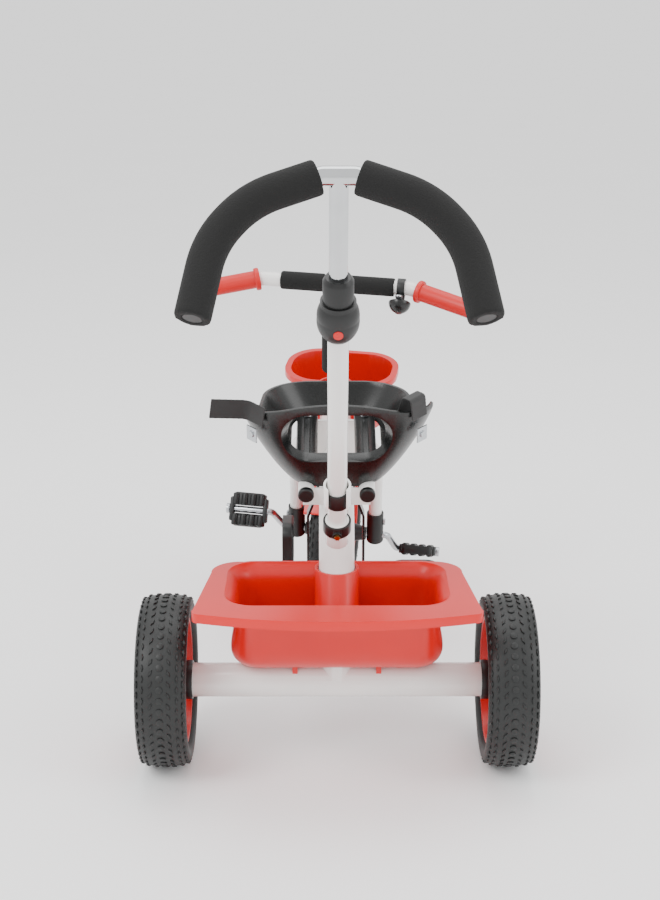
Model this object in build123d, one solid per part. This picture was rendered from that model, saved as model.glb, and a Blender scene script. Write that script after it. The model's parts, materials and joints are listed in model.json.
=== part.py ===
from build123d import *
from math import cos, radians, sin, tan
import os

# Children's tricycle, in millimetres. +X is the rider's right, +Y is forward, +Z is up, and Z = 0 is the
# ground. The origin is under the middle of the whole tricycle's box. The steered parts are modelled with the
# steering straight and upright in their own frame, then turned and leaned into place by steered().

# Driving dimensions: wheels and stance
rear_axle_y = -136.7
wheelbase = 452.0
rear_wheel_radius = 101.5
rear_tyre_width = 60.0
rear_rim_radius = 76.0
rear_wheel_x = 200.0
front_wheel_radius = 125.0
front_tyre_width = 42.0
front_rim_radius = 99.0

# Driving dimensions: steering
steering_lean = 12.0
steering_turn = -10.0
front_wheel_lead = 8.0
axle_rod_diameter = 10.0
crank_diameter = 9.5
crank_radius = 86.0
crank_elevation = 32.0
pedal_x = 113.0
pedal_left_tilt = 70.0
pedal_right_tilt = -20.0
head_height = 190.0
steerer_diameter = 25.0
stem_diameter = 19.0
mudguard_rear_angle = 40.0
fork_leg_x = 57.0
fork_leg_diameter = 19.0
bar_height = 389.0
bar_foam_reach_left = 73.0
bar_foam_reach_right = 79.0
grip_shift_left = 8.0
bell_x = 88.0
bell_tilt = -45.0
basket_screw_x = 60.0
basket_foot_x = 49.0
basket_top = 240.0
basket_base = 158.0
bracket_z = 236.0

# Driving dimensions: frame tubes
axle_tube_diameter = 40.0
axle_tube_half_length = 169.5
main_tube_diameter = 42.0
main_tube_lean = 17.5
main_tube_bend_height = 182.0
main_tube_bend_radius = 70.0
rail_diameter = 19.0
rail_x = 36.0
rail_rise = 13.0
tube_wall = 2.0
head_tube_diameter = 36.0
head_tube_bore = 30.0

# Driving dimensions: seat, baskets, push bar, footrests
rail_start_y = 52.0
rail_start_z = 315.0
rail_length = 220.0
seat_wall = 4.0
seat_back_height = 114.0
seat_window_height = 66.0
seat_bolt_places = (45.0, 165.0)
# Seat outline at four heights: height, width, back, front, corner radius
seat_sections = (
    (-7.0, 118.0, 10.0, 190.0, 40.0),
    (12.0, 150.0, 2.0, 200.0, 50.0),
    (40.0, 186.0, -5.0, 212.0, 58.0),
    (78.0, 223.0, -11.0, 224.0, 64.0),
    (118.0, 230.0, -15.0, 230.0, 64.0),
)
strap_width = 25.0
strap_thickness = 1.6
basket_wall = 3.0
basket_rim_z = 228.0
basket_floor_z = 124.0
# Rear basket outline at four heights: Z, width, depth, corner radius, middle ahead of the axle
basket_sections = (
    (124.0, 208.0, 52.0, 14.0, 11.0),
    (200.0, 234.0, 112.0, 22.0, -6.0),
    (220.0, 244.0, 126.0, 26.0, -10.0),
    (228.0, 262.0, 142.0, 34.0, -10.5),
)
push_lean = 25.0
push_foot_y = 10.0
push_foot_z = 257.0
handle_height = 511.0
button_height = 336.0
push_tube_diameter = 22.0
chrome_tube_diameter = 19.0
foam_diameter = 35.0
handle_slope = 56.0
# One half of the handle in its own plane: (X, distance back from the top of the tube), and its bend radii
handle_half = ((16.0, 0.0), (84.0, 25.0), (121.0, 68.0), (135.0, 141.0))
handle_bends = (12.0, 100.0, 100.0)
foam_start = (20.0, 1.5)
footrest_hinge_x = 62.0
footrest_hinge_z = 145.0
footrest_reach = 74.0
footrest_depth = 62.0
footrest_y = 235.0
footrest_tube_z = 292.0

front_axle_z = front_wheel_radius
steering_base_y = rear_axle_y + wheelbase - front_wheel_lead * cos(radians(steering_lean))
steering_base_z = front_axle_z - front_wheel_lead * sin(radians(steering_lean))


# Helpers


def steered(shape):
    """Turn a part about the steering axis, lean it back and set it over the front wheel."""
    turned = Rot(0, 0, steering_turn) * shape
    leaned = Rot(steering_lean, 0, 0) * turned
    return Pos(0, steering_base_y, steering_base_z) * leaned


def on_push_line(distance):
    """Place along the push bar, whose own Z axis runs up the tube from its foot."""
    return Pos(0, rear_axle_y + push_foot_y, push_foot_z) * Rot(push_lean, 0, 0) * Pos(0, 0, distance)


def rod(start, end, diameter):
    """Solid round bar between two points."""
    path = Line(start, end)
    return sweep(Plane(origin=path @ 0, z_dir=path % 0) * Circle(diameter / 2), path=path)


def bent_bar(points, radius, diameter):
    """Solid round bar along straight runs with tangent bends."""
    path = FilletPolyline(*points, radius=radius)
    return sweep(Plane(origin=path @ 0, z_dir=path % 0) * Circle(diameter / 2), path=path)


def x_cylinder(radius, x_from, x_to, y=0.0, z=0.0):
    """Cylinder along X between two X values."""
    middle = (x_from + x_to) / 2
    return Pos(middle, y, z) * Rot(0, 90, 0) * Cylinder(radius, abs(x_to - x_from))


def washer(outer_radius, inner_radius, x_from, x_to, y=0.0, z=0.0):
    """Ring along X between two X values."""
    return x_cylinder(outer_radius, x_from, x_to, y, z) - x_cylinder(inner_radius, x_from, x_to, y, z)


def rounded_rect(width, depth, corner, z, y=0.0):
    """Rounded rectangle outline at a height."""
    return Plane.XY.offset(z) * Pos(0, y) * RectangleRounded(width, depth, corner)


def mirrored(shape):
    """The same shape on the other side of the middle plane."""
    return mirror(shape, about=Plane.YZ)


def pair(shape):
    """A shape and its mirror image as one node of two solids."""
    return Compound(children=[*shape.solids(), *mirrored(shape).solids()])


def save(name, shape):
    """Write one node's STEP file."""
    os.makedirs("parts", exist_ok=True)
    export_step(Compound(children=list(shape.solids())), f"parts/{name}.step")


# Wheels


def spun_about_x(outline):
    """Revolve an outline drawn as (X, radius) points about the X axis."""
    return revolve(Plane.XY * outline, axis=Axis.X)


def tyre(radius, width, rim_radius, crown_drop, shoulder_drop):
    """Solid foam tyre: crowned tread, rounded shoulders, leaning side walls and a flat seat on the rim."""
    half = width / 2
    lip = half * 0.8
    tread = ThreePointArc((-half * 0.72, radius - crown_drop), (0, radius), (half * 0.72, radius - crown_drop))
    right = ThreePointArc(
        (half * 0.72, radius - crown_drop),
        (half * 0.93, radius - (crown_drop + shoulder_drop) * 0.55),
        (half, radius - shoulder_drop),
    )
    left = ThreePointArc(
        (-half, radius - shoulder_drop),
        (-half * 0.93, radius - (crown_drop + shoulder_drop) * 0.55),
        (-half * 0.72, radius - crown_drop),
    )
    bottom = Polyline((half, radius - shoulder_drop), (lip, rim_radius), (-lip, rim_radius), (-half, radius - shoulder_drop))
    return spun_about_x(make_face(Curve() + [tread, right, bottom, left]))


def rear_rim(side):
    """Plastic disc wheel: a rim band, a dished web with five openings and a hub bored for the axle."""
    seat = rear_tyre_width * 0.4
    band = washer(rear_rim_radius - 0.3, rear_rim_radius - 5, -seat, seat)
    web = washer(rear_rim_radius - 4, 10, -3, 3)
    hub = washer(17, axle_rod_diameter / 2 + 0.08, -21, 20)
    body = band + web + hub
    for index in range(5):
        window = Rot(index * 72, 0, 0) * Pos(0, 0, 46) * Rot(0, 90, 0) * Cylinder(11, 20)
        body -= window
        rib = Rot(index * 72 + 36, 0, 0) * Pos(0, 0, 44) * Box(16, 5, 56)
        body += rib - x_cylinder(15, -20, 20) - washer(90, rear_rim_radius - 3, -20, 20)
    placed = Pos(rear_wheel_x, rear_axle_y, rear_wheel_radius) * body
    return placed if side > 0 else mirrored(placed)


def rear_tyre(side):
    body = tyre(rear_wheel_radius, rear_tyre_width, rear_rim_radius, 3.5, 15)
    return Pos(side * rear_wheel_x, rear_axle_y, rear_wheel_radius) * body


def rear_hub_cap(side):
    """Domed cap that snaps over the axle nut on the outer face of the wheel."""
    start = rear_wheel_x + 20.2
    dome = fillet(x_cylinder(15, start, start + 10).edges().sort_by(Axis.X)[-1], 6)
    cap = Pos(0, rear_axle_y, rear_wheel_radius) * (dome - x_cylinder(11.5, start - 1, start + 7))
    return cap if side > 0 else mirrored(cap)


def front_tyre():
    body = tyre(front_wheel_radius, front_tyre_width, front_rim_radius, 3.2, 12)
    return Pos(0, front_wheel_lead, 0) * body


def front_rim():
    """Plastic disc wheel keyed to the crank rod: rim band, full web with ribs and a hub."""
    seat = front_tyre_width * 0.4
    band = washer(front_rim_radius - 0.3, front_rim_radius - 5, -seat, seat)
    web = washer(front_rim_radius - 4, 8, -2.5, 2.5)
    hub = washer(16, crank_diameter / 2, -19, 19)
    body = band + web + hub
    for index in range(8):
        rib = Rot(index * 45, 0, 0) * Pos(0, 0, 54) * Box(14, 4, 82)
        body += rib - x_cylinder(14, -20, 20)
    return Pos(0, front_wheel_lead, 0) * body


def hub_cones():
    """Plastic cones that fill the space between the wheel hub and the fork holders."""
    cone = Pos(0, front_wheel_lead, 0) * Rot(0, 90, 0) * Pos(0, 0, 31.8) * Cone(15, 9, 25)
    cone -= x_cylinder(crank_diameter / 2, 0, 60, front_wheel_lead)
    return pair(cone)


# Frame


def main_tube_points():
    """Centre line of the main tube: up from the axle, then forward under the seat to the head tube."""
    lean = radians(main_tube_lean)
    height = main_tube_bend_height
    bend = (0, rear_axle_y + height * tan(lean), rear_wheel_radius + height)
    head = head_centre()
    return [(0, rear_axle_y, rear_wheel_radius), bend, head]


def head_centre():
    """Middle of the head tube on the steering axis."""
    lean = radians(steering_lean)
    return (0, steering_base_y - head_height * sin(lean), steering_base_z + head_height * cos(lean))


def rail_line(side):
    """Start and end of one seat rail."""
    start = (side * rail_x, rear_axle_y + rail_start_y, rail_start_z)
    rise = radians(rail_rise)
    end = (side * rail_x, start[1] + rail_length * cos(rise), start[2] + rail_length * sin(rise))
    return start, end


def main_tube_solid():
    """Outer volume of the main tube."""
    return bent_bar(main_tube_points(), main_tube_bend_radius, main_tube_diameter)


def frame():
    """The welded frame as one hollow piece."""
    body = main_tube_solid()
    body -= bent_bar(main_tube_points(), main_tube_bend_radius, main_tube_diameter - 2 * tube_wall)
    body += x_cylinder(axle_tube_diameter / 2, -axle_tube_half_length, axle_tube_half_length, rear_axle_y, rear_wheel_radius)
    body += steered(Pos(0, 0, head_height) * Cylinder(head_tube_diameter / 2, 64))
    for side in (-1, 1):
        start, end = rail_line(side)
        body += rod(start, end, rail_diameter)
    body += cross_plates()
    body += on_push_line(37) * Cylinder(13.5, 34)
    body += on_push_line(94) * Cylinder(15.5, 29)
    body += push_gusset()
    body -= x_cylinder(axle_tube_diameter / 2 - tube_wall, -200, 200, rear_axle_y, rear_wheel_radius)
    body -= steered(Pos(0, 0, head_height) * Cylinder(head_tube_bore / 2, 80))
    for side in (-1, 1):
        start, end = rail_line(side)
        body -= rod(start, end, rail_diameter - 2 * tube_wall)
    body -= on_push_line(134) * Cylinder(push_tube_diameter / 2 + 0.05, 224)
    body -= on_push_line(94) * Cylinder(13.05, 52)
    body -= on_push_line(94) * Pos(0, -15, 0) * Box(20, 18, 60)
    for side in (-1, 1):
        body -= Pos(side * basket_screw_x, rear_axle_y, rear_wheel_radius + axle_tube_diameter / 2) * Cylinder(2.45, 16)
        for forward in seat_bolt_places:
            body -= on_seat(Pos(side * rail_x, forward, -4) * Cylinder(3.05, 16))
    return body


def cross_plates():
    """Two steel plates that carry the rails on the main tube."""
    rear = Pos(0, rear_axle_y + 62, 309) * Rot(-8, 0, 0) * Box(2 * rail_x + 8, 5, 20)
    rear += Pos(0, rear_axle_y + 62, 297) * Rot(-8, 0, 0) * Box(28, 5, 44)
    front = Pos(0, rear_axle_y + 235, 329) * Rot(8, 0, 0) * Box(2 * rail_x + 8, 5, 50)
    return rear + front


def push_gusset():
    """Upright plate that joins the push bar's socket and loop to the main tube."""
    corners = ((8, 276), (46, 244), (66, 300), (60, 314), (-14, 347), (-21, 334), (2, 296))
    outline = Polyline(*[(rear_axle_y + y, z) for y, z in corners], close=True)
    return extrude(Plane.YZ * make_face(outline), 4, both=True)


def rail_end_caps():
    """Domed plastic plugs in the rear ends of the rails."""
    start, end = rail_line(1)
    cap = Pos(*start) * Rot(rail_rise, 0, 0) * Rot(90, 0, 0) * Pos(0, 0, 3) * Cylinder(rail_diameter / 2, 6)
    cap = fillet(cap.edges().filter_by(GeomType.CIRCLE).sort_by(Axis.Y)[:1], 2.5)
    stem = Pos(*start) * Rot(rail_rise, 0, 0) * Rot(90, 0, 0) * Pos(0, 0, -8) * Cylinder(rail_diameter / 2 - tube_wall, 16)
    return pair(cap + stem)


def rear_axle_rod():
    """Steel rod through the axle tube, threaded at both ends for the wheel nuts."""
    length = rear_wheel_x + 24
    return x_cylinder(axle_rod_diameter / 2, -length, length, rear_axle_y, rear_wheel_radius)


def axle_bushes():
    """Stepped plastic bushes that close the tube ends and space the wheels."""
    end = axle_tube_half_length
    flange = x_cylinder(23, end, end + 9, rear_axle_y, rear_wheel_radius)
    plug = x_cylinder(axle_tube_diameter / 2 - tube_wall, end - 22, end, rear_axle_y, rear_wheel_radius)
    hole = x_cylinder(axle_rod_diameter / 2, end - 30, end + 20, rear_axle_y, rear_wheel_radius)
    return pair(flange + plug - hole)


def rear_axle_nuts():
    """Hexagon nuts that hold the rear wheels on the rod."""
    start = rear_wheel_x + 20.4
    nut = extrude(Plane.YZ.offset(start) * RegularPolygon(9, 6), 5)
    nut = Pos(0, rear_axle_y, rear_wheel_radius) * nut
    nut -= x_cylinder(axle_rod_diameter / 2, start - 5, start + 20, rear_axle_y, rear_wheel_radius)
    return pair(nut)


# Seat. Its own frame starts at the top of the rails' rear ends, with Y up along the rails.


def on_seat(shape):
    """Set a part drawn in the seat's own frame onto the rails."""
    rail_top = rail_start_z + rail_diameter / 2 / cos(radians(rail_rise)) + 0.3
    return Pos(0, rear_axle_y + rail_start_y, rail_top) * Rot(rail_rise, 0, 0) * shape


def seat_volume(grow):
    """Bucket volume of the seat, offset by grow on every side."""
    sections = []
    for height, width, back, front, corner in seat_sections:
        level = height - grow if height == 0 else height
        outline = RectangleRounded(width + 2 * grow, front - back + 2 * grow, corner + grow)
        sections.append(Plane.XY.offset(level) * Pos(0, (front + back) / 2) * outline)
    return loft(sections)


def seat_side_profile():
    """Side view of the seat: high back, sides that sweep down, and a low front edge."""
    top = seat_back_height + 30
    outline = Curve() + [
        Polyline((22, top), (-40, top), (-40, -30), (250, -30), (250, 24), (110, 44)),
        ThreePointArc((110, 44), (56, 78), (22, top)),
    ]
    return extrude(Plane.YZ * make_face(outline), 140, both=True)


def seat_crown_profile():
    """Rear view of the seat: a top edge that is highest in the middle and turns down at the corners."""
    top = seat_back_height
    outline = Curve() + [
        Polyline((-122, 60), (-122, -30), (122, -30), (122, 60)),
        ThreePointArc((122, 60), (107, 90), (82, top - 14)),
        ThreePointArc((82, top - 14), (0, top), (-82, top - 14)),
        ThreePointArc((-82, top - 14), (-107, 90), (-122, 60)),
    ]
    return extrude(Plane.XZ * make_face(outline), 300, both=True)


def rail_grooves(radius):
    """Two cylinders on the rails' axes, in the seat's frame."""
    drop = rail_diameter / 2 + 0.3 * cos(radians(rail_rise))
    groove = Pos(rail_x, 100, -drop) * Rot(90, 0, 0) * Cylinder(radius, 400)
    return groove + mirrored(groove)


def oval_through_back(width, height, depth):
    """Oval outline facing backwards, at a depth in the seat's frame."""
    return Plane.XZ.offset(-depth) * Pos(0, seat_window_height) * RectangleRounded(width, height, height / 2 - 1)


def seat_shell():
    """One-piece plastic bucket seat with a dished window in its back and grooves that sit on the rails."""
    rail_fit = rail_diameter / 2 + 0.05
    outer = seat_volume(0) - rail_grooves(rail_fit)
    inner = seat_volume(-seat_wall) - rail_grooves(rail_fit + seat_wall)
    cut = loft([oval_through_back(146, 80, -26), oval_through_back(112, 52, 10)])
    dish = loft([oval_through_back(154, 88, -26), oval_through_back(119, 59, 9)])
    body = (outer - inner - cut) + ((dish - cut) & seat_volume(0))
    body &= seat_side_profile()
    body &= seat_crown_profile()
    for side in (-1, 1):
        for forward in seat_bolt_places:
            body -= Pos(side * rail_x, forward, 0) * Cylinder(3.1, 20)
    return on_seat(body)


def seat_bolts():
    """Four pan-head bolts that clamp the seat floor to the rails."""
    bolts = []
    for forward in seat_bolt_places:
        head = Pos(rail_x, forward, seat_wall + 1.5) * Cylinder(6, 3)
        shank = Pos(rail_x, forward, -3) * Cylinder(3, 14)
        bolts += (head + shank).solids()
    return on_seat(pair(Compound(children=bolts)))


def at_anchor(side):
    """Place on the outside of the seat's rear corner, with X out of the surface and Z up."""
    return Pos(side * 96.5, 5.0, 68) * Rot(0, 0, -90 + side * 46)


def belt_anchors():
    """Steel anchor plates on the outside of the seat's rear corners, each held by a screw."""
    plates = []
    for side in (-1, 1):
        plate = Pos(2.2, 0, 0) * Box(1.6, 16, 18)
        head = Pos(3.9, 0, 0) * Rot(0, 90, 0) * Cylinder(4, 1.8)
        plates += (at_anchor(side) * (plate + head)).solids()
    return on_seat(Compound(children=plates))


def ribbon(points, radius, width):
    """Flat webbing strap: a thin strip drawn edge-on and given its width along Z."""
    path = FilletPolyline(*points, radius=radius)
    strip = trace(path, line_width=strap_thickness)
    return extrude(strip, width / 2, both=True)


def belt_strap_left():
    """Webbing that runs out sideways from its anchor, with a plain cut end."""
    strip = ribbon([(-84, -2.4), (-104, 12.5), (-146, 4)], 14, strap_width)
    return on_seat(Pos(0, -6.4, 84) * Rot(0, 8, 0) * strip)


def belt_strap_right():
    """Webbing that climbs over the rim above its anchor and lies down inside the seat."""
    top = seat_back_height + 3.5
    strip = ribbon([(4.4, 93), (1, top), (-12, top), (-18, 96), (-30, 52), (-50, 22)], 4, strap_width)
    upright = Rot(90, 0, 0) * strip
    return on_seat(Pos(91.5, 4.5, -3) * Rot(0, 0, -44) * upright)


# Rear basket


def basket_tub(grow):
    """Tapered volume of the rear basket, flared at its mouth, offset by grow."""
    faces = []
    for z, width, depth, corner, forward in basket_sections:
        level = z - grow if z == basket_floor_z else z
        faces.append(rounded_rect(width + 2 * grow, depth + 2 * grow, corner, level, rear_axle_y + forward))
    return loft(faces)


def basket_rim():
    """Flat rim, narrow at the front, with wings and a bowed lip at the rear."""
    back = rear_axle_y
    right = [
        ThreePointArc((118, back + 58), (138, back + 48), (147, back + 22)),
        Line((147, back + 22), (160, back - 90)),
        ThreePointArc((160, back - 90), (160, back - 99), (152, back - 104)),
    ]
    left = [mirror(edge, about=Plane.YZ) for edge in right]
    front = Line((-118, back + 58), (118, back + 58))
    rear = ThreePointArc((152, back - 104), (0, back - 126), (-152, back - 104))
    outline = make_face(Curve() + [front, rear] + right + left)
    plate = extrude(Plane.XY.offset(basket_rim_z - basket_wall) * outline, basket_wall)
    skirt = extrude(Plane.XY.offset(basket_rim_z - 11) * outline, 11 - basket_wall)
    inner = extrude(Plane.XY.offset(basket_rim_z - 12) * offset(outline, -basket_wall), 12)
    return plate + (skirt - inner)


def column_cylinder(radius):
    """Long cylinder on the axis of the steep part of the main tube."""
    points = main_tube_points()
    return rod(points[0], points[1], 2 * radius)


def outside_axle_tube():
    """The axle tube's outer volume, which the basket's feet are shaped to."""
    return x_cylinder(axle_tube_diameter / 2, -200, 200, rear_axle_y, rear_wheel_radius)


def rear_basket():
    """Red plastic tub with a rolled rim, a bulge round the main tube and two feet on the axle tube."""
    outer = basket_tub(0)
    inner = basket_tub(-basket_wall)
    body = (basket_rim() + outer) - inner
    body += column_cylinder(main_tube_diameter / 2 + 5) & outer
    body -= column_cylinder(main_tube_diameter / 2 + 2)
    for side in (-1, 1):
        body += Pos(side * basket_foot_x, rear_axle_y - 12.5, basket_floor_z - 2) * Box(6, 4, 14) - outside_axle_tube()
        body -= Pos(side * basket_screw_x, rear_axle_y, basket_floor_z) * Cylinder(2.6, 20)
        body -= Pos(side * basket_screw_x, rear_axle_y, basket_floor_z + basket_wall) * Cylinder(4.7, 4)
    return body


def rear_basket_screws():
    """Two screws through the basket floor into the axle tube."""
    top = basket_floor_z + basket_wall
    head = Pos(basket_screw_x, rear_axle_y, top - 1.2) * Cylinder(4.6, 1.6)
    shank = Pos(basket_screw_x, rear_axle_y, top - 6) * Cylinder(2.4, 10)
    return pair(head + shank)


# Push bar


def push_tube():
    """White lower tube of the push bar."""
    return on_push_line(182.5) * (Cylinder(push_tube_diameter / 2, 321) - Cylinder(chrome_tube_diameter / 2 + 0.1, 330))


def push_bushing():
    """Plastic bushing between the push bar and the open loop on the frame."""
    return on_push_line(89.5) * (Cylinder(13.0, 21) - Cylinder(push_tube_diameter / 2 + 0.05, 40))


def push_clamp():
    """Black clamp ring round the socket, with a boss for its screw at the rear."""
    ring = on_push_line(46) * Cylinder(16, 15)
    ring += on_push_line(44) * Pos(0, -14, 0) * Rot(90, 0, 0) * Cylinder(5, 8)
    ring -= on_push_line(46) * Cylinder(13.55, 20)
    ring -= on_push_line(44) * Pos(0, -17, 0) * Rot(90, 0, 0) * Cylinder(2, 10)
    gusset_gap = on_push_line(46) * Pos(0, 18, 0) * Box(8.6, 20, 20)
    return ring - gusset_gap - main_tube_solid()


def push_clamp_bolt():
    """Brass-plated hexagon screw in the clamp's boss."""
    shank = Pos(0, -16, 0) * Rot(90, 0, 0) * Cylinder(1.95, 4.6)
    head = Pos(0, -18.1, 0) * Rot(90, 0, 0) * extrude(RegularPolygon(3.6, 6), 2.6)
    return on_push_line(44) * (shank + head)


def lock_collar():
    """Plastic collar on top of the white tube: a round-bellied housing, a stepped ring and a sleeve."""
    low = push_tube_diameter / 2 + 0.05
    high = chrome_tube_diameter / 2 + 0.05
    step = 343.5
    outline = Curve() + [
        Polyline((low, step), (low, 318), (13.5, 318)),
        ThreePointArc((13.5, 318), (20.2, 328), (22, 343)),
        ThreePointArc((22, 343), (21.4, 352), (18.6, 359)),
        Polyline((18.6, 359), (18.6, 364), (16, 364), (16, 388), (13, 393), (high, 393), (high, step), (low, step)),
    ]
    body = on_push_line(0) * revolve(Plane.XZ * make_face(outline), axis=Axis.Z)
    pocket = on_push_line(button_height) * Pos(0, -19, 0) * Rot(90, 0, 0) * Cylinder(5.1, 8)
    return body - pocket


def lock_button():
    """Red button that releases the chrome tube."""
    return on_push_line(button_height) * Pos(0, -20.9, 0) * Rot(90, 0, 0) * Cylinder(5.03, 4.2)


def button_spring():
    """Small wave spring behind the button, drawn at its shortest length."""
    return on_push_line(button_height) * Pos(0, -15.8, 0) * Rot(90, 0, 0) * (Cylinder(4, 1.4) - Cylinder(2.6, 4))


def on_handle(points):
    """Turn (X, distance back from the top of the tube) pairs into places on the sloping handle plane."""
    slope = radians(handle_slope)
    top = on_push_line(handle_height).position
    return [(x, top.Y - back * cos(slope), top.Z - back * sin(slope)) for x, back in points]


def handle_route(side, points):
    """Centre line of one half of the handle, from near the middle to its end."""
    return on_handle([(side * x, back) for x, back in points])


def handle_tube():
    """Chrome upper tube with the bow-shaped handle welded across its top."""
    half = handle_route(1, handle_half)
    other = handle_route(-1, handle_half)
    radii = list(reversed(handle_bends)) + list(handle_bends)
    bar = bent_bar(list(reversed(other)) + half, radii, chrome_tube_diameter)
    stem = on_push_line((120 + handle_height) / 2) * Cylinder(chrome_tube_diameter / 2, handle_height - 120)
    bore = on_push_line((110 + handle_height - 20) / 2) * Cylinder(chrome_tube_diameter / 2 - 1.5, handle_height - 130)
    return bar + stem - bore


def foam_grip(side):
    """Foam sleeve over one half of the handle."""
    points = handle_route(side, (foam_start,) + handle_half[1:])
    end = Vector(*points[-1]) + (Vector(*points[-1]) - Vector(*points[-2])).normalized() * 5
    route = points[:-1] + [(end.X, end.Y, end.Z)]
    radii = list(handle_bends[1:])
    return bent_bar(route, radii, foam_diameter) - bent_bar(route, radii, chrome_tube_diameter + 0.1)


def handle_end_plugs():
    """Plastic plugs in the ends of the handle."""
    points = handle_route(1, handle_half)
    end = Vector(*points[-1])
    along = (end - Vector(*points[-2])).normalized()
    return pair(rod(end, end + along * 4.5, chrome_tube_diameter - 0.2))


# Footrests


def footrest_bracket():
    """Black steel hanger under the main tube, with ears for both hinge pins."""
    strap = Polyline(
        (22.6, footrest_tube_z),
        (22.6, footrest_tube_z - 30),
        (36, footrest_tube_z - 66),
        (36, footrest_hinge_z - 4),
        (0, footrest_hinge_z - 4),
    )
    middle_y = rear_axle_y + footrest_y
    leg = Pos(0, middle_y, 0) * extrude(Plane.XZ * trace(strap, line_width=3), 14, both=True)
    reach = footrest_hinge_x - 36
    bracket = leg
    for forward in (-1, 1):
        ear = Pos(-reach / 2, 0, 0) * Box(reach, 3, 14) + Rot(90, 0, 0) * Cylinder(7, 3)
        ear -= Rot(90, 0, 0) * Cylinder(3, 8)
        bracket += Pos(footrest_hinge_x, middle_y + forward * 12.5, footrest_hinge_z) * ear
    return bracket + mirrored(bracket)


def footrest_pins():
    """Hinge pins with domed heads."""
    pin = Rot(90, 0, 0) * Cylinder(2.95, 30) + Pos(0, -15.8, 0) * Rot(90, 0, 0) * Cylinder(5, 1.6)
    return pair(Pos(footrest_hinge_x, rear_axle_y + footrest_y, footrest_hinge_z) * pin)


def footrest(side, folded):
    """Ribbed plastic step with a hinge knuckle, lying flat or folded up."""
    plate = Pos(10 + footrest_reach / 2 - 5, 0, 0) * Box(footrest_reach - 10, footrest_depth, 14)
    plate = fillet(plate.edges().filter_by(Axis.Z), 18)
    plate = fillet(plate.edges().group_by(Axis.Z)[-1], 3)
    plate += Pos(6, 0, 0) * Box(12, 21, 10)
    plate += Rot(90, 0, 0) * Cylinder(6.5, 21)
    plate -= Rot(90, 0, 0) * Cylinder(3.0, 60)
    for index in range(5):
        plate -= Pos(footrest_reach / 2 + 5, (index - 2) * 10, 7) * Box(footrest_reach - 34, 3.5, 3)
    turned = Rot(0, -90 if folded else 0, 0) * plate
    placed = Pos(footrest_hinge_x, rear_axle_y + footrest_y, footrest_hinge_z) * turned
    return placed if side > 0 else mirrored(placed)


# Steering. Everything here is drawn upright round the steering axis, with the front axle at height 0.


def headset_cups():
    """Bearing cups pressed into both ends of the head tube."""
    cups = []
    for height, inward in ((head_height - 32, 1), (head_height + 32, -1)):
        flange = Pos(0, 0, height - inward * 2) * Cylinder(head_tube_diameter / 2 + 1, 4)
        sleeve = Pos(0, 0, height + inward * 6) * Cylinder(head_tube_bore / 2, 12)
        cup = flange + sleeve - Pos(0, 0, height) * Cylinder(steerer_diameter / 2 + 0.08, 60)
        cups += cup.solids()
    return steered(Compound(children=cups))


def fork():
    """Steerer tube, crown and two legs, welded as one piece."""
    body = Pos(0, 0, 148) * Box(64, 32, 10)
    body += Pos(0, 0, 190.7) * Cylinder(steerer_diameter / 2, 81.4)
    for side in (-1, 1):
        route = [
            (side * fork_leg_x, front_wheel_lead, 8),
            (side * fork_leg_x, front_wheel_lead, 148),
            (side * 20, 0, 148),
        ]
        body += bent_bar(route, 22, fork_leg_diameter)
        body -= Pos(side * fork_leg_x, front_wheel_lead, 22) * Rot(0, 90, 0) * Cylinder(2.5, 40)
    body -= Pos(0, 0, 200) * Cylinder(stem_diameter / 2 + 0.05, 90)
    body -= Pos(0, 0, 148) * Cylinder(3, 30)
    return body


def axle_holders():
    """Black plastic sleeves on the fork ends that carry the crank rod."""
    holder = Pos(fork_leg_x, front_wheel_lead, 12) * Cylinder(12, 48)
    holder = fillet(holder.edges().group_by(Axis.Z)[0], 4)
    holder -= Pos(fork_leg_x, front_wheel_lead, 28) * Cylinder(fork_leg_diameter / 2, 40)
    holder -= x_cylinder(crank_diameter / 2 + 0.06, 30, 90, front_wheel_lead)
    holder -= x_cylinder(2.5, fork_leg_x, 90, front_wheel_lead, 22)
    return steered(pair(holder))


def holder_bolts():
    """Short hexagon bolts that fix the holders to the fork legs."""
    shank = x_cylinder(2.45, fork_leg_x + 2, fork_leg_x + 12.2, front_wheel_lead, 22)
    head = Pos(0, front_wheel_lead, 22) * extrude(Plane.YZ.offset(fork_leg_x + 12.2) * RegularPolygon(4.6, 6), 2.4)
    return steered(pair(shank + head))


def front_mudguard():
    """Curved guard over the wheel with turned-down edges."""
    outer = 137.5
    inner = 135.0
    half = 27.0
    guard = washer(outer, inner, -half, half, front_wheel_lead)
    skirt = washer(outer, inner - 10, half - 2.5, half, front_wheel_lead)
    guard += skirt + mirrored(skirt)
    sector = make_face(
        Polyline((0, 0), (-190, 190 * tan(radians(mudguard_rear_angle))), (-190, 230), (130, 230), (0, 0))
    )
    keep = Pos(0, front_wheel_lead, 0) * extrude(Plane.YZ * sector, 40, both=True)
    guard = guard & keep
    guard += Pos(0, 0, 139.5) * Cylinder(9, 7)
    return guard - Pos(0, 0, 139) * Cylinder(3, 20)


def mudguard_screw():
    """Screw up through the mudguard into the fork crown."""
    return Pos(0, 0, 133.2) * Cylinder(5, 2.4) + Pos(0, 0, 141) * Cylinder(2.95, 14)


def steerer_nut():
    """Hexagon lock nut on top of the upper bearing cup."""
    nut = extrude(Plane.XY.offset(head_height + 36.2) * RegularPolygon(18, 6), 5)
    return nut - Pos(0, 0, head_height + 40) * Cylinder(steerer_diameter / 2, 30)


def grip_direction(side):
    """Unit direction of the bar's end, swept back and drooping."""
    sweep_back, droop = radians(18), radians(8)
    return Vector(side * cos(sweep_back) * cos(droop), -sin(sweep_back) * cos(droop), -sin(droop))


def bar_bend(side):
    """Corner where the bar's end turns back."""
    return Vector(side * 100, 0, bar_height)


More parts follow.
